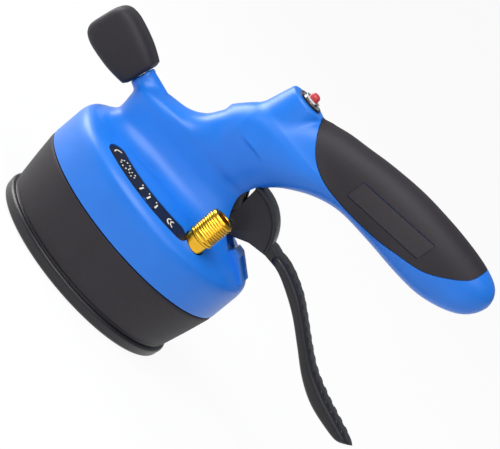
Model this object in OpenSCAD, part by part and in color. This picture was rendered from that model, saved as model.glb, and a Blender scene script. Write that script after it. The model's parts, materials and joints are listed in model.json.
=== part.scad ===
// Pistol-grip hose spray nozzle with a large rotating shower head.
// Millimetres. +Z is the spray axis, pointing away from the spray face; z = 0 is the front rim.
// +X points from the head towards the handle. The origin is the centre of the front rim.

/* [Head] */
// Radius of the blue head cover
head_r = 61; // [58:0.5:64]
// Height of the joint between the rotating bumper and the head cover
joint_z = 37; // [34:0.5:40]
// Radius of the small end of the rubber bumper
bumper_r = 56; // [52:0.5:58]
// Radius of the front bezel
bezel_r = 57.5; // [56:0.5:60]
// Number of spray holes in the outermost ring
hole_count = 30; // [12:2:40]

/* [Valve and inlet] */
// Outer radius of the brass inlet's thread
inlet_r = 7; // [6.5:0.1:7.5]
// Radius of the inlet's bore
inlet_bore_r = 4; // [3:0.1:4.5]
// Distance of the inlet from the spray axis along X
inlet_x = 27; // [25:0.5:29]
// Distance of the inlet from the middle plane
inlet_y = 40; // [38:0.5:41]
// Distance of the valve axis from the spray axis
valve_x = 9.5; // [9:0.5:10]

/* [Trigger] */
// Radius of the trigger's fan about its pin
fan_r = 25; // [23:0.5:25]
// Radius of the trigger's pin
pin_r = 2.5; // [2:0.1:3]
// Half the width of the trigger's fan
fan_w = 8; // [6:0.5:8]

/* [Body] */
// Wall thickness of the body shells
wall = 2.8; // [2:0.1:3]
// Thickness of the rubber on the handle
grip_t = 2.6; // [2:0.1:3]

/* [Hidden] */
gap = 0.3;
split_gap = 0.05;
fine = 96;
ring_n = 28;
pivot = [29.7, 74.7];
boss_top = 145;
knob_base = [-54.5, 88.5];
knob_tilt = 9;
knob_len = 35;
knob_gap = 0.4;
spindle_r = 4;
riser_r = 4.5;
riser_x = -6;
riser_y = 6.5;
valve_z0 = 98;
valve_r = 9;
block_r = 12;
seat_z = 117.3;
stem_r = 2;
stem_z0 = 80;
button_r = 2.6;
plate_z = 3;
hub_r = 8;
label_r0 = 45.5;
label_r1 = 54.5;
label_a0 = -131;
label_a1 = -66;
screw_at = [[50, 135], [84, 141], [116, 141]];

// Handle sections: [x, lowest z, highest z, half-width].
HANDLE = [[-4, 108, 120, 9], [6, 104, 133, 14], [16, 104, 142, 15.5], [24, 106, 147, 16],
    [34, 111, 151, 16], [46, 117.5, 154, 15.5], [60, 121.5, 157.5, 15.5], [80, 123, 161, 16.5],
    [100, 123.5, 162.3, 17], [115, 125, 162.3, 16.5], [126, 128.5, 161.5, 15],
    [135, 133.5, 159.5, 12], [140, 139, 156, 8.5], [143, 145, 152, 4]];
// Neck sections: [z, lowest x, highest x, half-width].
NECK = [[58, -50, 42, 31], [64, -50, 39.5, 26], [72, -51, 35.5, 20.5], [80, -52.5, 30.5, 17.5],
    [86, -53, 28, 16.5], [90, -46, 27, 16], [94, -30, 27, 16], [100, -21, 27.5, 16],
    [108, -16.5, 31, 16], [116, -13.5, 38, 15.5], [122, -9, 45, 14.5]];
// Lower and upper edges of the trigger's lever, from the fan to the tip.
LEVER_LOW = [[44, 77], [54, 79.3], [63, 79], [72, 76.3], [85, 70.6], [98, 62.8], [113, 53.5],
    [127, 48], [144, 46.2], [151, 47.4]];
LEVER_HIGH = [[156, 50.6], [144, 53.2], [128, 56.8], [115, 61], [104, 66.8], [91, 74.6],
    [80, 80.6], [67, 84.8], [56, 85.6]];

// ---------- lofting ----------
function power(v, e) = sign(v) * pow(abs(v), e);
function row(t, i) = t[max(0, min(len(t) - 1, i))];
function curve(a, b, c, d, t) = (2 * b + (c - a) * t + (2 * a - 5 * b + 4 * c - d) * t * t
    + (3 * b - a - 3 * c + d) * t * t * t) / 2;
function smooth(t, steps) = concat([for (i = [0:len(t) - 2]) for (k = [0:steps - 1])
    curve(row(t, i - 1), row(t, i), row(t, i + 1), row(t, i + 2), k / steps)], [t[len(t) - 1]]);
// Rings across X, for the handle, and across Z, for the neck; inset takes the wall off.
// The half step keeps every corner away from the middle plane, where the shells part.
function ring_x(s, inset) = [for (i = [0:ring_n - 1]) let (a = 360 * (i + 0.5) / ring_n)
    [s[0], max(s[3] - inset, 0.5) * power(cos(a), 0.85),
    (s[1] + s[2]) / 2 + max((s[2] - s[1]) / 2 - inset, 0.5) * power(sin(a), 0.85)]];
function ring_z(s, inset) = [for (i = [0:ring_n - 1]) let (a = 360 * (i + 0.5) / ring_n)
    [(s[1] + s[2]) / 2 + max((s[2] - s[1]) / 2 - inset, 0.5) * power(cos(a), 0.6),
    max(s[3] - inset, 0.5) * power(sin(a), 0.75), s[0]]];

// Solid through a list of rings that all have ring_n points.
module loft(rings) {
    last = len(rings) - 1;
    polyhedron(points = [for (r = rings) each r],
        faces = concat([[for (i = [0:ring_n - 1]) i]],
            [[for (i = [ring_n - 1:-1:0]) last * ring_n + i]],
            [for (k = [0:last - 1]) for (i = [0:ring_n - 1]) let (j = (i + 1) % ring_n)
                [k * ring_n + i, (k + 1) * ring_n + i, (k + 1) * ring_n + j, k * ring_n + j]]));
}

module handle_solid(inset) {
    loft([for (s = smooth(HANDLE, 2)) ring_x(s, inset)]);
}

module neck_solid(inset) {
    loft([for (s = smooth(NECK, 2)) ring_z(s, inset)]);
}

module at_valve(z) {
    translate([valve_x, 0, z]) children();
}

module along_y(p, length) {
    translate([p[0], 0, p[1]]) rotate([90, 0, 0])
        linear_extrude(length, center = true) children();
}

module flat_xz(width) {
    rotate([90, 0, 0]) linear_extrude(width, center = true) children();
}

module at_knob() {
    translate([knob_base[0], 0, knob_base[1]]) rotate([0, -90 + knob_tilt, 0]) children();
}

module tube(r_out, r_in, h) {
    difference() {
        cylinder(r = r_out, h = h, $fn = fine);
        translate([0, 0, -1]) cylinder(r = r_in, h = h + 2, $fn = fine);
    }
}

// Round coil spring as stacked rings joined by posts.
module coil(r, wire, z0, z1, turns) {
    function p(t) = [r * cos(360 * turns * t), r * sin(360 * turns * t), z0 + (z1 - z0) * t];
    steps = turns * 12;
    sides = 6;
    rings = [for (k = [0:steps]) let (t = k / steps, a = 360 * turns * t, c = p(t))
        [for (i = [0:sides - 1]) let (b = 360 * i / sides)
            c + [wire * cos(b) * cos(a), wire * cos(b) * sin(a), wire * sin(b)]]];
    polyhedron(points = [for (q = rings) each q],
        faces = concat([[for (i = [sides - 1:-1:0]) i]],
            [[for (i = [0:sides - 1]) steps * sides + i]],
            [for (k = [0:steps - 1]) for (i = [0:sides - 1]) let (j = (i + 1) % sides)
                [k * sides + i, k * sides + j, (k + 1) * sides + j, (k + 1) * sides + i]]));
}

// ---------- body shells ----------
// Outside of the dome that the neck stands on, in section.
module dome_outline() {
    polygon([[0, joint_z], [head_r, joint_z], [head_r, 55], [60.6, 57.5], [59.5, 59.3],
        [57.5, 60.6], [53, 63], [44, 65.5], [30, 67.4], [0, 68]]);
}

module body_outside() {
    neck_solid(0);
    handle_solid(0);
    at_valve(112) cylinder(r1 = 16.5, r2 = 11.5, h = boss_top - 112, $fn = 48);
    at_knob() translate([0, 0, -12]) cylinder(r = 6.2, h = 12, $fn = 40);
}

module grip_region() {
    flat_xz(60) polygon(concat(smooth([[21, 144], [27, 137.5], [35, 131.5], [46, 128],
        [63, 127.2], [80, 129.2], [95, 133.3], [109, 138], [119.5, 145.5], [127, 153],
        [129, 161]], 3), [[130, 175], [18, 175], [18, 146.5]]));
}

module body_hollow() {
    neck_solid(wall);
    at_valve(101.3) cylinder(r = block_r + 0.1, h = 22.8, $fn = 48);
    at_valve(123.9) cylinder(r = valve_r + 0.1, h = 18, $fn = 48);
    at_valve(141) cylinder(r = 6.1, h = 10, $fn = 48);
}

module trigger_room() {
    along_y(pivot, 2 * fan_w + 1.2) circle(r = fan_r + 0.8, $fn = 64);
    flat_xz(2 * fan_w + 1.2) polygon([pivot, [24, 62], [60, 62], [66, 100], [40, 101]]);
}

module body_solid() {
    difference() {
        body_outside();
        body_hollow();
        trigger_room();
        along_y(pivot, 24.6) circle(r = pin_r + 0.05, $fn = 48);
        for (s = screw_at) along_y(s, 25) circle(r = 1.6, $fn = 20);
        rotate_extrude($fn = 96) dome_outline();
        difference() {
            grip_region();
            handle_solid(grip_t);
        }
        at_knob() translate([0, 0, -40]) cylinder(r = 5.6, h = 60, $fn = 40);
    }
}

// resize() with zeros keeps the size and hands the joined lofts over as one mesh.
module body_half(side) {
    color("dodgerblue") resize([0, 0, 0]) intersection() {
        body_solid();
        translate([-150, side > 0 ? split_gap : -100 - split_gap, 0]) cube([350, 100, 200]);
    }
}

module handle_grip() {
    color([0.13, 0.12, 0.13]) resize([0, 0, 0]) difference() {
        intersection() {
            handle_solid(0);
            grip_region();
        }
        handle_solid(grip_t - 0.04);
        at_valve(100) cylinder(r = 14, h = 60, $fn = 48);
        for (y = [-1, 1]) inlay_prism(y, 1.02);
    }
}

// Shallow rectangular panel on each side of the grip.
module inlay_prism(side, deep) {
    intersection() {
        flat_xz(60) polygon([[57, 142.5], [102.5, 149.5], [102, 139.5], [57, 132.5]]);
        difference() {
            handle_solid(-0.05);
            handle_solid(deep);
        }
        translate([0, side > 0 ? 5 : -55, 100]) cube([150, 50, 80]);
    }
}

module grip_inlays() {
    color([0.1, 0.1, 0.1]) for (y = [-1, 1]) resize([0, 0, 0]) difference() {
        inlay_prism(y, 1);
        difference() {
            handle_solid(-1);
            handle_solid(0);
        }
    }
}

module housing_screws() {
    color("silver") for (s = screw_at) translate([s[0], 0, s[1]]) rotate([90, 0, 0]) {
        cylinder(r = 1.5, h = 24, center = true, $fn = fine);
    }
}

// Rib under the trigger that ties the neck to the head cover.
module neck_bracket() {
    color("royalblue") difference() {
        flat_xz(20) polygon([[40.5, 60], [40.5, 67], [42, 69.4], [45.5, 69.2], [50, 66.4],
            [57.5, 61.6], [57.5, 58], [40.5, 58]]);
        rotate_extrude($fn = fine) dome_outline();
        flat_xz(12) polygon([[47, 75], [47, 67], [62, 57.4], [62, 75]]);
    }
}

// ---------- head ----------
module head_cover() {
    color("dodgerblue") difference() {
        rotate_extrude($fn = fine) dome_outline();
        rotate_extrude($fn = fine) polygon([[0, joint_z - 1], [57.5, joint_z - 1],
            [57.5, 55], [55, 57.4], [51, 59.8], [30, 64.4], [0, 65]]);
        rotate([0, 0, label_a0]) rotate_extrude(angle = label_a1 - label_a0, $fn = fine)
            label_section(0.1);
        translate([inlet_x, -inlet_y, 50]) cylinder(r = 6.05, h = 40, $fn = fine);
        for (y = [-1, 1]) translate([riser_x, y * riser_y, 60])
            cylinder(r = riser_r + 0.05, h = 30, $fn = fine);
        at_valve(60) cylinder(r = 7, h = 30, $fn = fine);
        translate([0, 0, 60]) cylinder(r = 3, h = 2, $fn = fine);
    }
}

// The label sits 1 mm deep in the sloping back of the cover.
module label_section(slack) {
    difference() {
        translate([label_r0 - slack, 50]) square([label_r1 - label_r0 + 2 * slack, 30]);
        translate([0, -1]) dome_outline();
    }
}

module pattern_label() {
    color([0.02, 0.02, 0.1]) rotate([0, 0, label_a0 + 0.1])
        rotate_extrude(angle = label_a1 - label_a0 - 0.2, $fn = fine) intersection() {
            label_section(0);
            dome_outline();
        }
}

module inlet_fitting() {
    color("gold") translate([inlet_x, -inlet_y, 0]) difference() {
        union() {
            translate([0, 0, 54]) cylinder(r = 6, h = 15, $fn = fine);
            translate([0, 0, 68]) cylinder(r = inlet_r, h = 14.5, $fn = fine);
            translate([0, 0, 82.5]) cylinder(r1 = inlet_r, r2 = inlet_r - 1, h = 1, $fn = fine);
        }
        translate([0, 0, 50]) cylinder(r = inlet_bore_r, h = 40, $fn = fine);
    }
}

module inlet_screen() {
    color("silver") translate([inlet_x, -inlet_y, 52]) tube(6, 3, 2);
}

// Carries water from the inlet to the foot of the feed riser, inside the head.
module inlet_elbow() {
    reach = norm([inlet_x - riser_x, inlet_y - riser_y]);
    turn = atan2(inlet_y - riser_y, riser_x - inlet_x);
    color("dimgray") difference() {
        union() {
            translate([inlet_x, -inlet_y, 41]) cylinder(r = 6.5, h = 11, $fn = fine);
            translate([riser_x, -riser_y, 41]) cylinder(r = 6.5, h = 11, $fn = fine);
            translate([inlet_x, -inlet_y, 46.5]) rotate([0, 90, turn])
                cylinder(r = 5, h = reach, $fn = fine);
        }
        translate([inlet_x, -inlet_y, 43]) cylinder(r = 3.5, h = 20, $fn = fine);
        translate([riser_x, -riser_y, 43]) cylinder(r = 3.5, h = 20, $fn = fine);
        translate([inlet_x, -inlet_y, 46.5]) rotate([0, 90, turn])
            cylinder(r = 3, h = reach, $fn = fine);
    }
}

module riser(side, z0, z1) {
    color("dimgray") {
        translate([riser_x, side * riser_y, z0]) tube(riser_r, 3.5, z1 - z0);
    }
}

// Block in the boss with the chamber that the poppet opens. Water comes in under the seat and
// leaves above it, through a passage beside the chamber.
module valve_body() {
    passage = [2, riser_y];
    reach = norm([valve_x - passage[0], passage[1]]);
    turn = atan2(passage[1], valve_x - passage[0]);
    color("dimgray") difference() {
        union() {
            at_valve(valve_z0) cylinder(r = valve_r, h = 4, $fn = fine);
            at_valve(valve_z0 + 4) cylinder(r = block_r, h = 22, $fn = fine);
            translate([riser_x - 3, -riser_y - 4, 104.1]) cube([12, 2 * riser_y + 8, 7]);
        }
        at_valve(valve_z0 + 3) cylinder(r = 6.5, h = 30, $fn = fine);
        at_valve(valve_z0 - 1) cylinder(r = stem_r + 0.05, h = 10, $fn = fine);
        for (y = [-1, 1]) {
            translate([riser_x, y * riser_y, 103]) cylinder(r = 2.4, h = 5, $fn = fine);
            translate([riser_x, y * riser_y, 107.5]) rotate([0, 90, 0])
                cylinder(r = 1.5, h = passage[0] - riser_x, $fn = fine);
            translate([passage[0], y * passage[1], y > 0 ? 121.5 : 107.5])
                rotate([0, 90, -y * turn]) cylinder(r = 1.5, h = reach, $fn = fine);
        }
        translate([passage[0], passage[1], 107.5]) cylinder(r = 1.5, h = 14, $fn = fine);
    }
}

module valve_seat() {
    color("black") at_valve(seat_z) tube(6.4, 3.2, 2);
}

module plenum_plate() {
    color("dimgray") difference() {
        translate([0, 0, joint_z]) cylinder(r = 57.2, h = 3.9, $fn = fine);
        for (a = [0:60:300]) rotate([0, 0, a + 30]) translate([30, 0, 30])
            cylinder(r = 4, h = 20, $fn = fine);
        translate([0, 0, 30]) cylinder(r = 6, h = 20, $fn = fine);
    }
}

module plenum_seal() {
    color("black") translate([0, 0, joint_z - 3.2]) tube(51, 48, 2.9);
}

// Fixed post that the shower head turns on.
module head_hub() {
    color("dimgray") difference() {
        union() {
            translate([0, 0, plate_z + 4.3]) cylinder(r = hub_r, h = joint_z - plate_z - 4.3,
                $fn = fine);
            translate([0, 0, joint_z - 1]) cylinder(r = 5.95, h = 4.8, $fn = fine);
        }
        translate([0, 0, 0]) cylinder(r = 2.5, h = 26, $fn = fine);
        translate([0, 0, 28]) cylinder(r = 4, h = 30, $fn = fine);
        for (a = [0:90:270]) rotate([0, 0, a]) translate([0, 0, 31]) rotate([0, 90, 0])
            cylinder(r = 2, h = 12, $fn = fine);
    }
}

module pattern_disc() {
    color("dimgray") difference() {
        translate([0, 0, 12]) cylinder(r = 47.5, h = 3, $fn = fine);
        translate([0, 0, 10]) cylinder(r = hub_r + 0.05, h = 8, $fn = fine);
        for (a = [0:45:315]) rotate([0, 0, a]) translate([30, 0, 10])
            cylinder(r = 5, h = 8, $fn = fine);
    }
}

// ---------- rotating shower head ----------
module bumper_ring() {
    top = joint_z - gap;
    color([0.13, 0.12, 0.13]) rotate_extrude($fn = fine) polygon([[54, 8], [bumper_r, 8],
        [head_r, top - 1.2], [head_r - 0.6, top], [54, top], [52, top - 6], [52, 12]]);
}

module front_bezel() {
    color([0.1, 0.1, 0.1]) rotate_extrude($fn = fine) polygon([[50.1, 2], [52, 0], [55.5, 0],
        [57, 1.2], [bezel_r, 6], [56.6, 7], [55.4, 7], [55.4, 8], [50.1, 8]]);
}

module spray_plate() {
    color([0.2, 0.2, 0.22]) difference() {
        union() {
            translate([0, 0, plate_z]) cylinder(r = 50, h = 4, $fn = fine);
            translate([0, 0, plate_z + 4]) rotate_extrude($fn = fine)
                polygon([[48, 0], [50, 0], [50, 5], [52, 7], [52, 12], [50, 12], [48, 8]]);
        }
        for (ring = [1:5]) for (i = [0:hole_count * ring / 5 - 1])
            rotate([0, 0, 360 * i / (hole_count * ring / 5)]) translate([9 * ring, 0, 0])
                cylinder(r = 0.9, h = 20, $fn = 24);
        cylinder(r = 2.8, h = 20, $fn = fine);
    }
}

module hub_screw() {
    color("silver") union() {
        translate([0, 0, 1]) cylinder(r = 5, h = 2 - 0.05, $fn = fine);
        translate([0, 0, 1]) cylinder(r = 2.45, h = 22, $fn = fine);
    }
}

// ---------- trigger ----------
module lever_outline() {
    polygon(concat(smooth(LEVER_LOW, 3), smooth(LEVER_HIGH, 3)));
}

module trigger_lever() {
    color([0.07, 0.07, 0.08]) difference() {
        union() {
            flat_xz(2 * fan_w) {
                difference() {
                    translate(pivot) circle(r = fan_r, $fn = fine);
                    polygon([pivot, pivot + [-60, 12], [-40, 140], pivot + [-12, 60]]);
                    polygon([pivot, pivot + [-60, 12], [-40, 20], [60, 20], [80, 74],
                        [60, 79.4], [54, 79.3], [44, 77], [36, 71.5], [31, 68.5]]);
                }
                translate(pivot) circle(r = 6, $fn = 64);
            }
            flat_xz(12) intersection() {
                offset(delta = -2) lever_outline();
                translate([40, 0]) square([108, 120]);
            }
            flat_xz(2 * fan_w) intersection() {
                lever_outline();
                translate([40, 60]) square([17, 40]);
            }
            for (y = [-1, 1]) translate([0, y * 5.4, 0]) flat_xz(5) {
                hull() {
                    translate([valve_x, 88.2]) circle(r = 2.5, $fn = 32);
                    translate([22, 90]) circle(r = 3, $fn = 32);
                }
                hull() {
                    translate([22, 90]) circle(r = 3, $fn = 32);
                    translate(pivot) circle(r = 5, $fn = 32);
                }
            }
        }
        along_y(pivot, 40) circle(r = pin_r + 0.05, $fn = fine);
    }
}

module trigger_sleeve() {
    color([0.15, 0.14, 0.15]) difference() {
        flat_xz(19) intersection() {
            lever_outline();
            translate([57.05, 0]) square([110, 120]);
        }
        flat_xz(12.02) intersection() {
            offset(delta = -1.98) lever_outline();
            translate([40, 0]) square([108.05, 120]);
        }
    }
}

module trigger_pin() {
    color("silver") along_y(pivot, 24) circle(r = pin_r, $fn = fine);
}

// ---------- valve ----------
module valve_stem() {
    color("silver") {
        at_valve(stem_z0) cylinder(r = stem_r, h = seat_z - stem_z0, $fn = fine);
        at_valve(81) cylinder(r = 4.5, h = 4, $fn = fine);
    }
}

module valve_poppet() {
    color("black") at_valve(seat_z - 3.3) tube(5, stem_r, 3);
}

module stem_seal() {
    color("black") at_valve(valve_z0 + 3.05) tube(6.4, stem_r + 0.05, 1.8);
}

module return_spring() {
    color("silver") at_valve(0) coil(4, 0.4, valve_z0 + 5.4, seat_z - 3.8, 5);
}

module spring_cap() {
    color("dimgray") at_valve(124.1) cylinder(r = valve_r, h = 5, $fn = fine);
}

// ---------- flow knob ----------
module knob_barrel() {
    color("dimgray") at_knob() translate([0, 0, -30]) tube(5.5, spindle_r + 0.05, 28);
}

module knob_spindle() {
    color("silver") at_knob() translate([0, 0, -32]) cylinder(r = spindle_r, h = 45, $fn = fine);
}

module knob_seal() {
    color("black") at_knob() translate([0, 0, -1.9]) tube(5.5, spindle_r + 0.05, 1.8);
}

// Section of the knob at height t from its foot: [half-size in the plane, half-width].
module flow_knob() {
    sizes = [[0, 9.5, 9.5], [2, 10.6, 11], [12, 12.6, 12], [24, 13.6, 12], [31, 12, 11.2],
        [34, 9.5, 9.5], [knob_len, 7, 7]];
    rings = [for (s = smooth(sizes, 3)) [for (i = [0:ring_n - 1]) let (a = 360 * i / ring_n)
        [s[1] * power(cos(a), 0.55), s[2] * power(sin(a), 0.55), s[0]]]];
    color([0.13, 0.12, 0.13]) at_knob() translate([0, 0, knob_gap]) difference() {
        loft(rings);
        translate([0, 0, -1]) cylinder(r = spindle_r, h = 13.6, $fn = fine);
    }
}

// ---------- lock button ----------
module button_collar() {
    color("silver") difference() {
        union() {
            at_valve(141.05) cylinder(r = 6, h = 5, $fn = fine);
            at_valve(146) cylinder(r = 4.4, h = 1.5, $fn = fine);
        }
        at_valve(140) cylinder(r = button_r + 0.08, h = 10, $fn = fine);
    }
}

module button_plate() {
    color([0.1, 0.08, 0.1]) at_valve(boss_top + 0.02) tube(7, 6.05, 1.1);
}

module lock_button() {
    color("crimson") at_valve(0) rotate_extrude($fn = fine) polygon([[0, 138], [4.5, 138],
        [4.5, 140.6], [button_r, 140.6], [button_r, 149.2], [2.2, 150], [1.4, 150.6], [0, 150.9]]);
}

module button_spring() {
    color("silver") at_valve(0) coil(3, 0.4, 129.6, 137.5, 4);
}

body_half(-1);  // body_shell_left
body_half(1);  // body_shell_right
handle_grip();
grip_inlays();
head_cover();
pattern_label();
inlet_fitting();
inlet_screen();
inlet_elbow();
riser(-1, 52.05, 104);  // feed_riser
valve_body();
valve_seat();
riser(1, 41.05, 104);  // outlet_riser
plenum_plate();
plenum_seal();
head_hub();
pattern_disc();
bumper_ring();
front_bezel();
spray_plate();
hub_screw();
trigger_lever();
trigger_sleeve();
trigger_pin();
valve_stem();
valve_poppet();
stem_seal();
return_spring();
spring_cap();
knob_barrel();
knob_spindle();
knob_seal();
flow_knob();
button_collar();
button_plate();
lock_button();
button_spring();
housing_screws();
neck_bracket();
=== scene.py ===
"""Hose spray nozzle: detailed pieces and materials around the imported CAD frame."""
import json
import math

import bmesh
import bpy
import numpy as np
from mathutils import Matrix, Vector


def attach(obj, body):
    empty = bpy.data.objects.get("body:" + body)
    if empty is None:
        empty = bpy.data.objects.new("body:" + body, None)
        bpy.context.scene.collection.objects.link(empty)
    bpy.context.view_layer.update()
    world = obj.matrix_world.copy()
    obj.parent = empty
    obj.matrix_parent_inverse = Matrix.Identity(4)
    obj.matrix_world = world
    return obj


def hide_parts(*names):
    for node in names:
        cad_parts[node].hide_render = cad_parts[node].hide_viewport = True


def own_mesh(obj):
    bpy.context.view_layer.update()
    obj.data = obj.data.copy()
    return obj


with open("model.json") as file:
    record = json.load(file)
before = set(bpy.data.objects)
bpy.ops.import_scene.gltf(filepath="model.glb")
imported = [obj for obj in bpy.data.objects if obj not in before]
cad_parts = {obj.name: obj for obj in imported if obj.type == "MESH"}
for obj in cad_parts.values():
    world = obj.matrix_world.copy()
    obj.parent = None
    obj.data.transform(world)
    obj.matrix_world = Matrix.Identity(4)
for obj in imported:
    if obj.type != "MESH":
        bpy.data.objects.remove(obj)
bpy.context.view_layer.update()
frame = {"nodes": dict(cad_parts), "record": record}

MM = 0.001
PIVOT = (29.7, 74.7)
VALVE_X = 9.5
BOSS_TOP = 145.0
KNOB_BASE = (-54.5, 88.5)
KNOB_TILT = math.radians(9)
INLET = (27, -40)
SHARP = 38                # degrees between faces above which an edge shades sharp
GRID = 0.8                # spacing of the surface grids, in mm
WALL = 2.8                # wall of the hollow neck
SLOT_HALF = 8.6           # half the width of the trigger's slot
SPLIT = 0.04              # each shell stops this far from the middle plane
REACH = 40                # half the depth of a cut that goes right through
BOSS_R = 10.2             # radius of the button's boss at its flat end
SPIGOT_R = 6.2            # radius of the arm that carries the knob
NECK_POWER = 2.8          # how square the neck's section is
HANDLE_POWER = 2.35
LIGHT_DISTANCE = 0.9

# ---------------------------------------------------------------- materials


def tree(name):
    m = bpy.data.materials.new(name)
    m.use_nodes = True
    n = m.node_tree.nodes
    return m, n, m.node_tree.links, n["Principled BSDF"]


def plastic(name, colour, rough, grain=0.0, size=900.0, mottle=0.06, coat=0.0, metal=0.0,
            spread=0.08, specular=0.5, stretch=(1, 1, 1)):
    """Moulded or turned finish: colour mottling, uneven roughness and a fine bump."""
    m, n, link, b = tree(name)
    co = n.new("ShaderNodeTexCoord")
    mp = n.new("ShaderNodeMapping")
    mp.inputs["Scale"].default_value = stretch
    link.new(co.outputs["Object"], mp.inputs["Vector"])
    fine = n.new("ShaderNodeTexNoise")
    fine.inputs["Scale"].default_value = size
    fine.inputs["Detail"].default_value = 3
    broad = n.new("ShaderNodeTexNoise")
    broad.inputs["Scale"].default_value = 45
    broad.inputs["Detail"].default_value = 4
    for t in (fine, broad):
        link.new(mp.outputs[0], t.inputs["Vector"])
    ramp = n.new("ShaderNodeValToRGB")
    for e, k in zip(ramp.color_ramp.elements, (1 - mottle, 1 + mottle)):
        e.color = [min(1, c * k) for c in colour] + [1]
    ramp.color_ramp.elements[0].position = 0.3
    ramp.color_ramp.elements[1].position = 0.7
    link.new(broad.outputs[0], ramp.inputs[0])
    link.new(ramp.outputs[0], b.inputs["Base Color"])
    span = n.new("ShaderNodeMapRange")
    span.inputs["To Min"].default_value = rough - spread
    span.inputs["To Max"].default_value = rough + spread
    link.new(fine.outputs[0], span.inputs[0])
    link.new(span.outputs[0], b.inputs["Roughness"])
    if grain:
        bump = n.new("ShaderNodeBump")
        bump.inputs["Strength"].default_value = grain
        bump.inputs["Distance"].default_value = 0.0002
        link.new(fine.outputs[0], bump.inputs["Height"])
        link.new(bump.outputs[0], b.inputs["Normal"])
    b.inputs["Metallic"].default_value = metal
    b.inputs["Specular IOR Level"].default_value = specular
    if coat:
        b.inputs["Coat Weight"].default_value = coat
        b.inputs["Coat Roughness"].default_value = 0.25
    return m


MATS = {
    "blue_plastic": plastic("blue_plastic", (0.006, 0.18, 0.74), 0.42, 0.12, 1400, 0.05, 0.12),
    "black_rubber": plastic("black_rubber", (0.017, 0.013, 0.018), 0.62, 0.35, 1900, 0.15),
    "inlay_rubber": plastic("inlay_rubber", (0.026, 0.021, 0.026), 0.58, 0.45, 1500, 0.15),
    "label_film": plastic("label_film", (0.003, 0.003, 0.010), 0.35, 0.04, 600, 0.1),
    "brass": plastic("brass", (0.90, 0.50, 0.04), 0.24, 0.15, 500, 0.08, 0, 1.0,
                     stretch=(1, 1, 6)),
    "steel": plastic("steel", (0.60, 0.60, 0.62), 0.32, 0.15, 700, 0.06, 0, 1.0,
                     stretch=(1, 1, 8)),
    "grey_plastic": plastic("grey_plastic", (0.10, 0.10, 0.105), 0.5, 0.2, 1200, 0.08),
    "seal_rubber": plastic("seal_rubber", (0.012, 0.012, 0.013), 0.7, 0.2, 1500, 0.1),
    "dark_plastic": plastic("dark_plastic", (0.010, 0.009, 0.013), 0.4, 0.2, 1600, 0.12),
    "red_plastic": plastic("red_plastic", (0.56, 0.035, 0.05), 0.3, 0.08, 900, 0.06, 0.3),
    "bright_metal": plastic("bright_metal", (0.82, 0.78, 0.78), 0.14, 0.05, 500, 0.03, 0, 1.0,
                            0.04),
    "icon_print": plastic("icon_print", (0.80, 0.76, 0.66), 0.5, 0.1, 1200, 0.04),
}

# ---------------------------------------------------------------- mesh helpers


def mesh_of(name, verts, faces):
    me = bpy.data.meshes.new(name)
    me.from_pydata([[c * MM for c in v] for v in verts], [], faces)
    return me


def linked(name, me):
    """The mesh, welded and with its normals outwards, as an object in the scene."""
    bm = bmesh.new()
    bm.from_mesh(me)
    bmesh.ops.remove_doubles(bm, verts=bm.verts, dist=1e-7)
    bmesh.ops.recalc_face_normals(bm, faces=bm.faces)
    bm.to_mesh(me)
    bm.free()
    o = bpy.data.objects.new(name, me)
    bpy.context.collection.objects.link(o)
    return o


def tool(name, verts, faces):
    """A cutter or a blank: it is dropped before the end."""
    return linked(name, mesh_of(name, verts, faces))


def piece(name, me, body, slot, node=None, smooth=True, material=None):
    """A visible piece that rides on a body and may stand for a CAD node."""
    o = linked(name, me)
    me.materials.clear()
    me.materials.append(MATS[material or slot])
    if smooth:
        for p in me.polygons:
            p.use_smooth = True
        me.set_sharp_from_angle(angle=math.radians(SHARP))
    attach(o, body)
    if node:
        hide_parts(node)
    return o


def make(name, verts, faces, body, slot, node=None, smooth=True, material=None):
    return piece(name, mesh_of(name, verts, faces), body, slot, node, smooth, material)


def applied(o):
    """The object's mesh with its modifiers in, as a new mesh."""
    dg = bpy.context.evaluated_depsgraph_get()
    return bpy.data.meshes.new_from_object(o.evaluated_get(dg))


def drop(*objects):
    for o in objects:
        bpy.data.objects.remove(o, do_unlink=True)


def combine(o, cutter, op):
    """Exact Boolean with a cutter, which is dropped."""
    m = o.modifiers.new("cut", "BOOLEAN")
    m.operation = op
    m.object = cutter
    m.solver = "EXACT"
    me = applied(o)
    o.modifiers.clear()
    o.data = me
    drop(cutter)


def prism(points, y0, y1):
    """Outline in the X-Z plane as a solid between two Y planes."""
    n = len(points)
    v = [(x, y0, z) for x, z in points] + [(x, y1, z) for x, z in points]
    f = [list(range(n)), list(range(2 * n - 1, n - 1, -1))]
    f += [[i, i + n, (i + 1) % n + n, (i + 1) % n] for i in range(n)]
    return v, f


def disc(r, steps):
    """Circle about the trigger's pin, in the X-Z plane."""
    return [(PIVOT[0] + r * math.cos(a), PIVOT[1] + r * math.sin(a))
            for a in np.linspace(0, 2 * math.pi, steps, endpoint=False)]


def lathe(profile, seg, centre=(0, 0)):
    """Closed (r, z) outline turned once about a vertical axis."""
    n = len(profile)
    v, f = [], []
    for i in range(seg):
        a = math.radians(360 * i / seg)
        j = (i + 1) % seg
        v += [(centre[0] + r * math.cos(a), centre[1] + r * math.sin(a), z) for r, z in profile]
        f += [[i * n + k, j * n + k, j * n + (k + 1) % n, i * n + (k + 1) % n] for k in range(n)]
    return v, f


def gather(verts, faces, part):
    """Add a part's mesh to lists that hold several."""
    v, f = part
    faces += [[q + len(verts) for q in g] for g in f]
    verts += v


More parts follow.
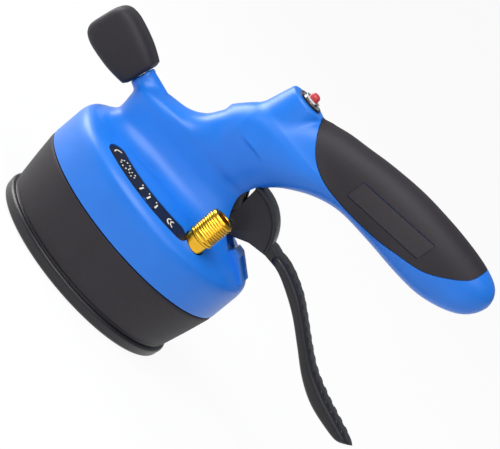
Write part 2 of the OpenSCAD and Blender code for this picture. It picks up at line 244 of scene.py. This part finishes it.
def rounded(points, radius, steps=4):
    """A closed outline with each corner rounded; radius may be one number or a list."""
    out = []
    n = len(points)
    for i, p in enumerate(points):
        r = radius[i] if isinstance(radius, (list, tuple)) else radius
        p = np.array(p, float)
        a, b = np.array(points[i - 1], float) - p, np.array(points[(i + 1) % n], float) - p
        la, lb = np.linalg.norm(a), np.linalg.norm(b)
        cut = min(r, la * 0.45, lb * 0.45)
        if cut < 0.01:
            out.append(tuple(p))
            continue
        s, e = p + a / la * cut, p + b / lb * cut
        for k in range(steps + 1):
            t = k / steps
            out.append(tuple((1 - t) ** 2 * s + 2 * t * (1 - t) * p + t * t * e))
    return out


def dense(table, steps=10):
    """Catmull-Rom through the rows of a table."""
    t = np.array(table, float)
    out = []
    for i in range(len(t) - 1):
        a, b, c, d = (t[min(max(i + k, 0), len(t) - 1)] for k in (-1, 0, 1, 2))
        for k in range(steps):
            u = k / steps
            out.append((2 * b + (c - a) * u + (2 * a - 5 * b + 4 * c - d) * u * u
                        + (3 * b - a - 3 * c + d) * u ** 3) / 2)
    out.append(t[-1])
    return np.array(out)


def loft(rings):
    n = len(rings[0])
    v = [p for r in rings for p in r]
    f = [[k * n + i, (k + 1) * n + i, (k + 1) * n + (i + 1) % n, k * n + (i + 1) % n]
         for k in range(len(rings) - 1) for i in range(n)]
    f += [list(range(n)), list(range(len(v) - n, len(v)))[::-1]]
    return v, f


def power(v, e):
    return math.copysign(abs(v) ** e, v)


# ---------------------------------------------------------------- fields for the moulded body
HANDLE = [(-4, 108, 120, 9), (6, 104, 133, 14), (16, 104, 142, 15.5), (24, 106, 147, 16),
          (34, 111, 151, 16), (46, 117.5, 154, 15.5), (60, 121.5, 157.5, 15.5),
          (80, 123, 161, 16.5), (100, 123.5, 162.3, 17), (115, 125, 162.3, 16.5),
          (126, 128.5, 161.5, 15), (134, 132.6, 160, 12.4), (139, 136.8, 157.8, 9.4),
          (142, 141.4, 154.6, 6), (143.3, 145, 151.6, 2.8), (143.6, 147.9, 148.6, 0.4)]
NECK = [(58, -50, 42, 31), (64, -50, 39.5, 26), (72, -51, 35.5, 20.5), (80, -52.5, 30.5, 17.5),
        (86, -53, 28, 16.5), (90, -46, 27, 16), (94, -30, 27, 16), (100, -21, 27.5, 16),
        (108, -16.5, 31, 16), (116, -13, 38, 16), (123, -9, 46, 15.5), (128, -5, 54, 13)]
DOME = [(0, 68), (30, 67.4), (44, 65.5), (53, 63), (57.5, 60.6), (59.5, 59.3), (60.6, 57.5),
        (61, 55)]
GRIP_EDGE = [(21, 144), (27, 137.5), (35, 131.5), (46, 128), (63, 127.2), (80, 129.2),
             (95, 133.3), (109, 138), (119.5, 145.5), (127, 153), (129, 161)]


def smin(a, b, k):
    h = np.clip(0.5 + 0.5 * (b - a) / k, 0, 1)
    return b + (a - b) * h - k * h * (1 - h)


def section(table, s, u, y, n):
    """Distance-like field of a body given by stations along s: low u, high u, half-width."""
    t = dense(table)
    lo, hi, w = (np.interp(s, t[:, 0], t[:, k]) for k in (1, 2, 3))
    h, c = (hi - lo) / 2, (hi + lo) / 2
    f = (np.abs(y / w) ** n + np.abs((u - c) / h) ** n) ** (1 / n) - 1
    return f * np.minimum(h, w) + np.maximum(0, s - t[-1, 0]) + np.maximum(0, t[0, 0] - s)


def dome_height(r):
    return np.interp(r, [p[0] for p in DOME], [p[1] for p in DOME])


def body_field(x, y, z):
    neck = section(NECK, z, x, y, NECK_POWER)
    handle = section(HANDLE, x, z, y, HANDLE_POWER)
    body = smin(neck, handle, 12) + 0.6
    # Boss for the lock button, tapered and with a flat end.
    r = np.hypot(x - VALVE_X, y) - (BOSS_R + 0.21 * (BOSS_TOP - z))
    top = z - (BOSS_TOP - 1)
    boss = np.minimum(np.maximum(r, top), 0) + np.hypot(np.maximum(r, 0), np.maximum(top, 0)) - 1
    boss = np.maximum(boss, 112 - z)
    body = smin(body, boss, 1.6)
    # Spigot that carries the knob.
    ax, az = -math.cos(KNOB_TILT), math.sin(KNOB_TILT)
    t = (x - KNOB_BASE[0]) * ax + (z - KNOB_BASE[1]) * az
    q = np.hypot((x - KNOB_BASE[0]) * az - (z - KNOB_BASE[1]) * ax, y)
    spigot = np.maximum(q - SPIGOT_R - 0.35 * (np.abs(t + 1.2) < 1.0), np.maximum(t, -t - 14))
    body = smin(body, spigot, 3)
    # Flare into the head cover; it dives under the cover's surface outside the fillet.
    cover = z - dome_height(np.hypot(x, y)) + 0.3
    flared = np.maximum(smin(body, cover, 8), body - 7)
    return np.maximum(flared, -cover - 1.5)


def surface(field, lo, hi, step):
    """Naive surface nets: a quad mesh of where the field is zero."""
    axes = [np.arange(a, b + step, step) for a, b in zip(lo, hi)]
    f = field(*np.meshgrid(*axes, indexing="ij"))
    shape = np.array(f.shape) - 1
    total = np.zeros(tuple(shape) + (3,))
    count = np.zeros(tuple(shape))
    corner = [(i, j, k) for i in (0, 1) for j in (0, 1) for k in (0, 1)]

    def at(c):
        return f[tuple(slice(c[d], c[d] + shape[d]) for d in range(3))]

    for c in corner:
        for d in range(3):
            if c[d]:
                continue
            e = tuple(1 if i == d else c[i] for i in range(3))
            a, b = at(c), at(e)
            hit = (a < 0) != (b < 0)
            t = np.where(hit, a / np.where(hit, a - b, 1), 0)
            for i in range(3):
                total[..., i] += np.where(hit, c[i] + (t if i == d else 0), 0)
            count += hit
    cell = count > 0
    index = -np.ones(tuple(shape), int)
    index[cell] = np.arange(cell.sum())
    base = np.argwhere(cell)
    verts = (base + total[cell] / count[cell][:, None]) * step + np.array(lo)
    faces = []
    for d in range(3):
        u, w = (d + 1) % 3, (d + 2) % 3
        sl0 = [slice(1, -1)] * 3
        sl1 = [slice(1, -1)] * 3
        sl0[d], sl1[d] = slice(0, -1), slice(1, None)
        hit = (f[tuple(sl0)] < 0) != (f[tuple(sl1)] < 0)
        p = np.argwhere(hit)
        p[:, u] += 1
        p[:, w] += 1
        q = []
        for du, dw in ((0, 0), (-1, 0), (-1, -1), (0, -1)):
            g = p.copy()
            g[:, u] += du
            g[:, w] += dw
            q.append(index[g[:, 0], g[:, 1], g[:, 2]])
        faces.append(np.stack(q, 1))
    return verts.tolist(), np.concatenate(faces).tolist()


def half(o, sign):
    """The part of a closed mesh on one side of the middle plane, capped."""
    bm = bmesh.new()
    bm.from_mesh(o.data)
    r = bmesh.ops.bisect_plane(bm, geom=bm.verts[:] + bm.edges[:] + bm.faces[:], dist=1e-8,
                               plane_co=(0, sign * SPLIT * MM, 0), plane_no=(0, sign, 0),
                               clear_inner=True)
    edges = [e for e in r["geom_cut"] if isinstance(e, bmesh.types.BMEdge)]
    bmesh.ops.triangle_fill(bm, edges=edges, use_beauty=True, normal=(0, -sign, 0))
    me = bpy.data.meshes.new("half")
    bm.to_mesh(me)
    bm.free()
    return me


grip_line = [tuple(p) for p in dense(GRIP_EDGE, 6)]
GRIP_OUT = grip_line + [(131, 175), (18, 175), (18, 147)]


def shell_field(x, y, z):
    """Body with the neck hollowed out for the valve and the trigger's fan."""
    f = body_field(x, y, z)
    room = np.maximum(np.maximum(f + WALL, x - 40), np.maximum(z - 124, 63 - z))
    return np.maximum(f, -room)


def core_field(x, y, z):
    f = section(HANDLE, x, z, y, HANDLE_POWER) + 1.4
    return np.maximum(f, 24 - x)


body = tool("body", *surface(shell_field, (-64, -32, 56), (148, 32, 168), GRID))
grip = bpy.data.objects.new("grip", body.data.copy())
bpy.context.collection.objects.link(grip)


def grown(points, d):
    """Outline moved outwards by d, whichever way round it runs."""
    p = np.array(points, float)
    t = np.roll(p, -1, 0) - np.roll(p, 1, 0)
    t /= np.linalg.norm(t, axis=1)[:, None]
    area = np.sum(p[:, 0] * np.roll(p[:, 1], -1) - np.roll(p[:, 0], -1) * p[:, 1])
    n = np.stack([t[:, 1], -t[:, 0]], 1) * (1 if area > 0 else -1)
    return [tuple(q) for q in p + n * d]


lever_room = [(29.7, 60), (62, 60), (66, 100), (40, 101), (29.7, 90)]
for word, room, wide in (("grip_room", grown(GRIP_OUT, 0.35), REACH),
                         ("slot", disc(25.8, 72), SLOT_HALF), ("wedge", lever_room, SLOT_HALF)):
    combine(body, tool(word, *prism(room, -wide, wide)), "DIFFERENCE")
combine(grip, tool("grip_prism", *prism(GRIP_OUT, -REACH, REACH)), "INTERSECT")
PANEL = [(57, 143.5), (103, 150.8), (102.3, 139.6), (56.6, 132.4)]
for y0, y1 in ((9, REACH), (-REACH, -9)):
    combine(grip, tool("panel_room", *prism(rounded(PANEL, 0.8), y0, y1)), "DIFFERENCE")
core = tool("core", *surface(core_field, (20, -20, 100), (148, 20, 166), 2 * GRID))
for sign, word in ((-1, "left"), (1, "right")):
    piece("shell_" + word, half(body, sign), "housing", "blue_plastic", "body_shell_" + word)
piece("handle_core", core.data, "housing", "blue_plastic")
piece("grip_rubber", grip.data, "housing", "black_rubber", "handle_grip")


def skin_field(x, y, z):
    return np.maximum(section(HANDLE, x, z, y, HANDLE_POWER) + 0.12, 8.5 - np.abs(y))


inlay = tool("inlay", *surface(skin_field, (52, -20, 126), (108, 20, 156), GRID))
outline = rounded(grown(PANEL, -0.4), 0.8)
combine(inlay, tool("inlay_cut", *prism(outline, -REACH, REACH)), "INTERSECT")
piece("grip_panels", inlay.data, "housing", "inlay_rubber", "grip_inlays")
drop(body, grip, core, inlay)

# ---------------------------------------------------------------- head
cover_line = rounded([(61, 37.2), (61, 54), (60.2, 58.2), (57.4, 60.9), (53, 63), (44, 65.5),
                      (30, 67.4), (0.02, 68), (0.02, 65), (30, 64.4), (51, 59.8), (57.5, 55),
                      (57.5, 37.2)], [0.5, 4, 3, 2, 3, 5, 5, 0, 0, 2, 2, 2, 0.3], 6)
cover = tool("cover", *lathe(cover_line, 192))
LABEL_A = (-131, -66)
LABEL_R = (45.3, 54.7)


def label_outline(grow):
    """Strip with round ends, as (angle, radius) pairs."""
    mid, half_w = sum(LABEL_R) / 2, (LABEL_R[1] - LABEL_R[0]) / 2 + grow
    end = math.degrees(half_w / mid)
    out = []
    for a, s in ((LABEL_A[1] - end * 0.5, 1), (LABEL_A[0] + end * 0.5, -1)):
        for t in np.linspace(-90, 90, 15):
            out.append((a + s * (end + math.degrees(grow / mid)) * math.cos(math.radians(t)),
                        mid + s * half_w * math.sin(math.radians(t))))
        step = -(LABEL_A[1] - LABEL_A[0]) / 24
        if s > 0:
            out += [(LABEL_A[1] + step * k, LABEL_R[1] + grow) for k in range(2, 23)]
        else:
            out += [(LABEL_A[0] - step * k, LABEL_R[0] - grow) for k in range(2, 23)]
    return out


def on_cover(a, r, lift):
    a = math.radians(a)
    return (r * math.cos(a), r * math.sin(a), float(dome_height(r)) + lift)


def strip(grow, low, high):
    pts = label_outline(grow)
    n = len(pts)
    v = [on_cover(a, r, low) for a, r in pts] + [on_cover(a, r, high) for a, r in pts]
    f = [[i, (i + 1) % n, n + (i + 1) % n, n + i] for i in range(n)]
    f += [list(range(n))[::-1], list(range(n, 2 * n))]
    return v, f


combine(cover, tool("label_room", *strip(0.35, -1.1, 4)), "DIFFERENCE")
inlet_room = lathe([(0.02, 50), (6.6, 50), (6.6, 80), (0.02, 80)], 48, INLET)
combine(cover, tool("inlet_room", *inlet_room), "DIFFERENCE")
piece("cover_shell", cover.data, "housing", "blue_plastic", "head_cover")
drop(cover)
make("label_strip", *strip(0, -1.2, -0.35), "housing", "label_film", "pattern_label")

icons_v, icons_f = [], []


def icon(points):
    """Flat printed mark from (angle, radius) points, raised a little off the strip."""
    n, k = len(points), len(icons_v)
    for lift in (-0.45, -0.22):
        icons_v.extend(on_cover(a, r, lift) for a, r in points)
    icons_f.extend([[k + i, k + (i + 1) % n, k + n + (i + 1) % n, k + n + i] for i in range(n)])
    icons_f.extend([list(range(k, k + n))[::-1], list(range(k + n, k + 2 * n))])


def dot(a, r, size):
    icon([(a + math.degrees(size * math.cos(t) / r), r + size * math.sin(t))
          for t in np.linspace(0, 2 * math.pi, 12, endpoint=False)])


def arc_mark(a, r, size, t0, t1, thick):
    t = np.linspace(math.radians(t0), math.radians(t1), 10)
    icon([(a + math.degrees(s * math.cos(u) / r), r + s * math.sin(u))
          for s, us in ((size, t), (size - thick, t[::-1])) for u in us])


for k in range(9):
    t = 2 * math.pi * k / 9
    dot(-118 + math.degrees(3.1 * math.cos(t) / 50), 50 + 2.5 * math.sin(t), 0.42)
for k in range(5):
    t = 2 * math.pi * k / 5
    dot(-110.5 + math.degrees(1.8 * math.cos(t) / 50), 50 + 1.7 * math.sin(t), 0.4)
for a in (-101, -94.5, -88):
    dash = 1.7
    icon([(a - 0.5, 50.2 - dash), (a + 0.5, 50.2 - dash), (a + 0.5, 50.2 + dash),
          (a - 0.5, 50.2 + dash)])
    dot(a - 1.6, 47.6, 0.42)
arc_mark(-127, 50, 2.6, 110, 250, 0.6)
arc_mark(-76, 50, 2.4, 100, 260, 0.6)
arc_mark(-73.5, 50, 2.4, 100, 260, 0.6)
make("label_icons", icons_v, icons_f, "housing", "label_film", smooth=False,
     material="icon_print")

make("bumper_sleeve", *lathe(rounded([(54, 8.1), (56, 8.1), (58.9, 23), (60.9, 35), (60.7, 36.7),
                                      (54, 36.7), (52, 31), (52, 12)],
                                     [0.3, 0.8, 4, 1.0, 0.5, 0.4, 1, 1], 5), 192),
     "spray_head", "black_rubber", "bumper_ring")
make("rim_bezel", *lathe(rounded([(50.1, 2), (51.6, 0), (55.6, 0), (56.9, 1), (57.5, 5.2),
                                  (56.9, 6.4), (55.4, 6.9), (55.2, 8.1), (50.1, 8.1)],
                                 [0.5, 0.9, 1.0, 0.8, 0.9, 0.6, 0.3, 0.2, 0.3], 5), 192),
     "spray_head", "dark_plastic", "front_bezel")
nub_v, nub_f = [], []
for ring in range(1, 6):
    for i in range(6 * ring):
        a = 2 * math.pi * i / (6 * ring)
        gather(nub_v, nub_f, lathe([(0.9, 3.2), (0.9, 1.9), (1.3, 1.9), (1.7, 3.2)], 14,
                                   (9 * ring * math.cos(a), 9 * ring * math.sin(a))))
make("spray_nubs", nub_v, nub_f, "spray_head", "seal_rubber")

# ---------------------------------------------------------------- brass inlet
PITCH = 1.34              # thread pitch, in mm
ROWS = 84
SEG = 96
rows = []
for k in range(ROWS + 1):
    z = 70.0 + 12.3 * k / ROWS
    fade = min(1, (z - 70) / 1.0, (82.3 - z) / 0.8)
    ring = []
    for i in range(SEG):
        a = 2 * math.pi * i / SEG
        tri = abs(((z / PITCH + i / SEG) % 1) * 2 - 1)
        r = 7.0 - 0.42 * (1 - tri) * max(fade, 0) - 0.25 * (1 - max(fade, 0))
        ring.append((INLET[0] + r * math.cos(a), INLET[1] + r * math.sin(a), z))
    rows.append(ring)


def plain_ring(r, z):
    return [(INLET[0] + r * math.cos(a), INLET[1] + r * math.sin(a), z)
            for a in (2 * math.pi * i / SEG for i in range(SEG))]


rings = [plain_ring(r, z) for r, z in ((4, 54), (6, 54), (6, 67.4), (6.8, 67.8), (7, 68.1),
                                       (7, 69.2), (6.7, 69.6))]
rings += rows + [plain_ring(r, z) for r, z in ((6.6, 82.7), (6.0, 83.45), (4.3, 83.5),
                                               (4, 83.2))]
n_r = len(rings)
v = [p for r in rings for p in r]
f = [[k * SEG + i, ((k + 1) % n_r) * SEG + i, ((k + 1) % n_r) * SEG + (i + 1) % SEG,
      k * SEG + (i + 1) % SEG] for k in range(n_r) for i in range(SEG)]
make("brass_inlet", v, f, "housing", "brass", "inlet_fitting")

# ---------------------------------------------------------------- trigger
LEVER_LOW = [(44, 77), (54, 79.3), (63, 79), (72, 76.3), (85, 70.6), (98, 62.8), (113, 53.5),
             (127, 48), (144, 46.2), (151, 47.4)]
LEVER_HIGH = [(156, 50.6), (144, 53.2), (128, 56.8), (115, 61), (104, 66.8), (91, 74.6),
              (80, 80.6), (67, 84.8), (56, 85.6)]
low, high = dense(LEVER_LOW, 8), dense(LEVER_HIGH[::-1], 8)


def along(line, t):
    d = np.r_[0, np.cumsum(np.hypot(*np.diff(line, axis=0).T))]
    return np.array([np.interp(t * d[-1], d, line[:, 0]), np.interp(t * d[-1], d, line[:, 1])])


low_grip = low[low[:, 0] >= 57.2]
high_grip = high[high[:, 0] >= 57.2]
rings = []
STATIONS = 90
for k in range(STATIONS + 1):
    t = k / STATIONS
    a, b = along(low_grip, t), along(high_grip, t)
    mid, arm = (a + b) / 2, (b - a) / 2
    near = min(1, 0.80 + 0.20 * math.sqrt(min(1, t / 0.03)))          # rounds the near end
    tip = math.sqrt(max(0.02, 1 - max(0, (t - 0.95) / 0.05) ** 2))    # rounds the far end
    w = (9.4 - 1.6 * t) * tip * near
    scale = 0.97 * (0.9 + 0.1 * tip) * near
    ring = []
    for i in range(40):
        g = 2 * math.pi * i / 40
        u, s = power(math.cos(g), 0.6), power(math.sin(g), 0.55)
        q = mid + arm * u * scale
        ring.append((q[0], w * s, q[1]))
    rings.append(ring)
make("lever_sleeve", *loft(rings), "trigger", "dark_plastic", "trigger_sleeve")

rib_v, rib_f = [], []
for k in range(17):
    t = 0.07 + 0.85 * k / 16
    p, q = along(high_grip, t - 0.006), along(high_grip, t + 0.006)
    d = (q - p) / np.linalg.norm(q - p)
    n = np.array([-d[1], d[0]])
    c0 = (p + q) / 2 - n * 1.0
    outline = [c0 + d * 2.0 * power(math.cos(g), 0.6) + n * 0.9 * power(math.sin(g), 0.8)
               for g in np.linspace(0, 2 * math.pi, 16, endpoint=False)]
    gather(rib_v, rib_f, loft([
        [(c0[0] + (x - c0[0]) * sc, y, c0[1] + (z - c0[1]) * sc) for x, z in outline]
        for y, sc in ((-6.4, 0.55), (-5.8, 1), (5.8, 1), (6.4, 0.55))]))
make("lever_ribs", rib_v, rib_f, "trigger", "dark_plastic")


def fan(r, a0, a1):
    return [(PIVOT[0] + r * math.cos(math.radians(a)), PIVOT[1] + r * math.sin(math.radians(a)))
            for a in np.linspace(a0, a1, 40)]


def bevelled(name, blank, width, node=None):
    """A trigger piece from a blank, with its edges rounded."""
    m = blank.modifiers.new("edge", "BEVEL")
    m.width = width * MM
    m.segments = 3
    m.limit_method = "ANGLE"
    m.angle_limit = 0.6
    me = applied(blank)
    drop(blank)
    piece(name, me, "trigger", "dark_plastic", node)


WEB = fan(24.2, 26, 100) + [(27, 84), (25.5, 76), (27.5, 71), (32, 70), (37, 73.2),
                            (44, 77.2), (54, 79.5), (63, 79.6), (63, 83.6),
                            (58, 85.0), (54.4, 85.6)]
RIM = fan(25, 14, 101) + fan(23.0, 14, 101)[::-1]
FORK = [(7.2, 87.4), (8.4, 85.9), (10.6, 85.8), (22, 87.2), (26, 80), (28, 86), (24, 92),
        (20, 92.6), (9.5, 90.6), (7.6, 89.6)]
fan_web = tool("web", *prism(WEB, -7.2, 7.2))
combine(fan_web, tool("hole", *prism(disc(2.6, 40), -30, 30)), "DIFFERENCE")
bevelled("lever_fan", fan_web, 0.9, "trigger_lever")
bevelled("lever_rim", tool("lever_rim", *prism(RIM, -8, 8)), 0.5)
for y, word in ((-5.4, "left"), (5.4, "right")):
    name = "lever_fork_" + word
    bevelled(name, tool(name, *prism(FORK, y - 2.4, y + 2.4)), 0.5)

# ---------------------------------------------------------------- knob
SIZES = [(0, 7.6, 7.6), (0.7, 9.2, 9.4), (2.2, 10.3, 10.8), (12, 12.6, 12.0), (24, 13.6, 12.0),
         (30.2, 12.7, 11.6), (33.2, 10.8, 10.2), (34.6, 8.3, 8.3), (35, 5.5, 5.5)]
rings = []
for s, a, b in dense(SIZES, 6):
    ring = []
    for i in range(72):
        g = 2 * math.pi * i / 72
        p, y = a * power(math.cos(g), 0.5), b * power(math.sin(g), 0.5)
        t = s + 0.4
        ring.append((KNOB_BASE[0] - t * math.cos(KNOB_TILT) + p * math.sin(KNOB_TILT), y,
                     KNOB_BASE[1] + t * math.sin(KNOB_TILT) + p * math.cos(KNOB_TILT)))
    rings.append(ring)
make("knob_cover", *loft(rings), "knob", "black_rubber", "flow_knob")

# ---------------------------------------------------------------- springs


def coil(name, radius, wire, z0, z1, turns, node):
    """Round-wire spring on the valve axis."""
    steps, sides = turns * 32, 10
    rings = []
    for k in range(steps + 1):
        t = k / steps
        a = 2 * math.pi * turns * t
        rings.append([(VALVE_X + (radius + wire * math.cos(b)) * math.cos(a),
                       (radius + wire * math.cos(b)) * math.sin(a),
                       z0 + (z1 - z0) * t + wire * math.sin(b))
                      for b in (2 * math.pi * i / sides for i in range(sides))])
    o = make(name, *loft(rings), "housing", "steel", node)
    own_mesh(o)


coil("return_coil", 4, 0.4, 103.4, 113.4, 5, "return_spring")
coil("button_coil", 3, 0.4, 129.6, 137.4, 4, "button_spring")

# ---------------------------------------------------------------- CAD nodes that stay
slots = {s["node"]: s["material_slot"] for s in frame["record"]["subparts"]}
for name, o in frame["nodes"].items():
    o.data.materials.clear()
    o.data.materials.append(MATS[slots[name]])

# ---------------------------------------------------------------- stage, light, camera


def pale(name, grey, seen):
    """Pale ground that shows as near-white to the camera and in reflections, with a shadow."""
    m, n, link, b = tree(name)
    b.inputs["Base Color"].default_value = (grey, grey, grey, 1)
    b.inputs["Roughness"].default_value = 0.9
    e = n.new("ShaderNodeEmission")
    e.inputs[0].default_value = (1, 1, 1, 1)
    e.inputs[1].default_value = 1.0
    path, add, mul, mix = (n.new("ShaderNode" + k) for k in
                           ("LightPath", "Math", "Math", "MixShader"))
    add.operation, add.use_clamp = "ADD", True
    mul.operation = "MULTIPLY"
    mul.inputs[1].default_value = seen
    link.new(path.outputs["Is Camera Ray"], add.inputs[0])
    link.new(path.outputs["Is Glossy Ray"], add.inputs[1])
    link.new(add.outputs[0], mul.inputs[0])
    link.new(mul.outputs[0], mix.inputs[0])
    link.new(b.outputs[0], mix.inputs[1])
    link.new(e.outputs[0], mix.inputs[2])
    link.new(mix.outputs[0], n["Material Output"].inputs["Surface"])
    return m


bpy.ops.mesh.primitive_plane_add(size=12, location=(0, 0, -0.0005))
floor = bpy.context.object
floor.name = "floor"
floor.data.materials.append(pale("floor_white", 0.85, 0.93))

scene = bpy.context.scene
scene.view_settings.view_transform = "Standard"
world = bpy.data.worlds.new("studio")
scene.world = world
world.use_nodes = True
n, link = world.node_tree.nodes, world.node_tree.links
bg = n["Background"]
path, ray, back = (n.new("ShaderNode" + k) for k in ("LightPath", "MixShader", "Background"))
bg.inputs[0].default_value = (0.9, 0.95, 1, 1)
bg.inputs[1].default_value = 0.28
back.inputs[0].default_value = (1, 1, 1, 1)
back.inputs[1].default_value = 1.0
link.new(path.outputs["Is Camera Ray"], ray.inputs[0])
link.new(bg.outputs[0], ray.inputs[1])
link.new(back.outputs[0], ray.inputs[2])
link.new(ray.outputs[0], n["World Output"].inputs["Surface"])

elev = math.radians(13)
toward_z = Vector((0, math.sin(elev), math.cos(elev)))
right = Vector((0.636, 0, 0)) + 0.772 * toward_z
up = Vector((-0.772, 0, 0)) + 0.636 * toward_z
back_dir = Vector((0, -math.cos(elev), math.sin(elev)))
aim = Vector((37.3, 0, 82.2)) * MM
cam_data = bpy.data.cameras.new("camera")
cam_data.lens, cam_data.sensor_width = 200, 36
cam = bpy.data.objects.new("camera", cam_data)
bpy.context.collection.objects.link(cam)
cam.matrix_world = Matrix((
    (right.x, up.x, back_dir.x, 0), (right.y, up.y, back_dir.y, 0),
    (right.z, up.z, back_dir.z, 0), (0, 0, 0, 1)))
cam.location = aim + back_dir * (0.125 / (18 / 200))
scene.camera = cam


def softbox(name, direction, size, watts):
    d = bpy.data.lights.new(name, "AREA")
    d.shape, d.size, d.energy = "DISK", size, watts
    o = bpy.data.objects.new(name, d)
    bpy.context.collection.objects.link(o)
    v = direction.normalized()
    o.location = aim + v * LIGHT_DISTANCE
    o.rotation_mode = "QUATERNION"
    o.rotation_quaternion = v.to_track_quat("Z", "Y")


softbox("key", up * 0.75 + right * 0.35 + back_dir * 0.6, 0.7, 5.6)
softbox("fill", back_dir + right * 0.5 + Vector((0, 0, 0.3)), 0.9, 3.0)
softbox("rim", up * 0.9 - right * 0.3 - back_dir * 0.35, 0.6, 6.5)
